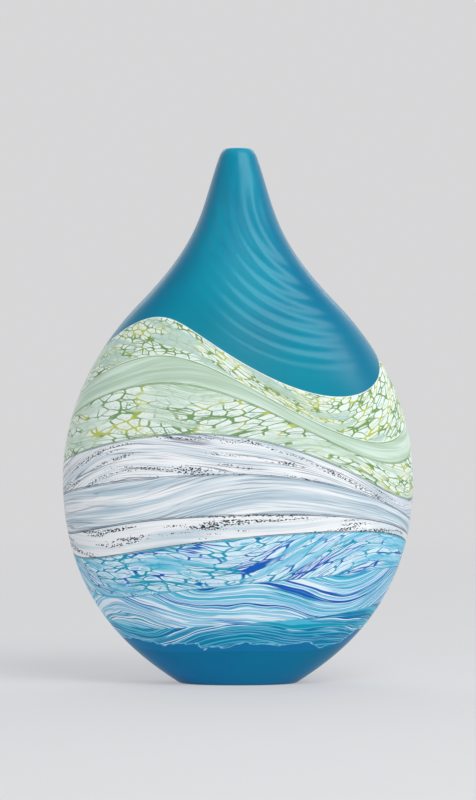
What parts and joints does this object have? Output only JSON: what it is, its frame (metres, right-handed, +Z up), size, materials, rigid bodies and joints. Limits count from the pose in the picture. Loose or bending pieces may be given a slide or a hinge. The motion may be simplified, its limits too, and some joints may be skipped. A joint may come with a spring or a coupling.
{
  "type": "glass sculpture",
  "caption": "Blown studio-glass sculpture: a tall flattened teardrop flask of satin cased glass, with a narrow ground mouth, coloured strips wrapped round the body and a small flat foot.",
  "frame": {"origin": "centre of the ground foot, on the surface that the sculpture stands on", "axes": "+Z up to the mouth, X across the wide face, Y through the thickness, -Y towards the viewer"},
  "size_m": [0.2758, 0.116, 0.42],
  "materials": {
    "clear_glass": "satin",
    "teal_glass": "satin",
    "moss_net_glass": "satin",
    "sage_glass": "satin",
    "leaf_net_glass": "satin",
    "white_thread_glass": "satin",
    "mist_glass": "satin",
    "snow_glass": "satin",
    "aqua_net_glass": "satin",
    "cobalt_thread_glass": "satin",
    "sea_thread_glass": "satin"
  },
  "bodies": {
    "root": {"clear_bubble": "clear_glass", "teal_collar": "teal_glass", "moss_net_strip": "moss_net_glass", "sage_ribbon": "sage_glass", "leaf_net_strip": "leaf_net_glass", "white_thread_strip": "white_thread_glass", "mist_ribbon": "mist_glass", "snow_ribbon": "snow_glass", "aqua_net_strip": "aqua_net_glass", "cobalt_thread_strip": "cobalt_thread_glass", "sea_thread_strip": "sea_thread_glass", "teal_foot": "teal_glass"}
  },
  "joints": []
}
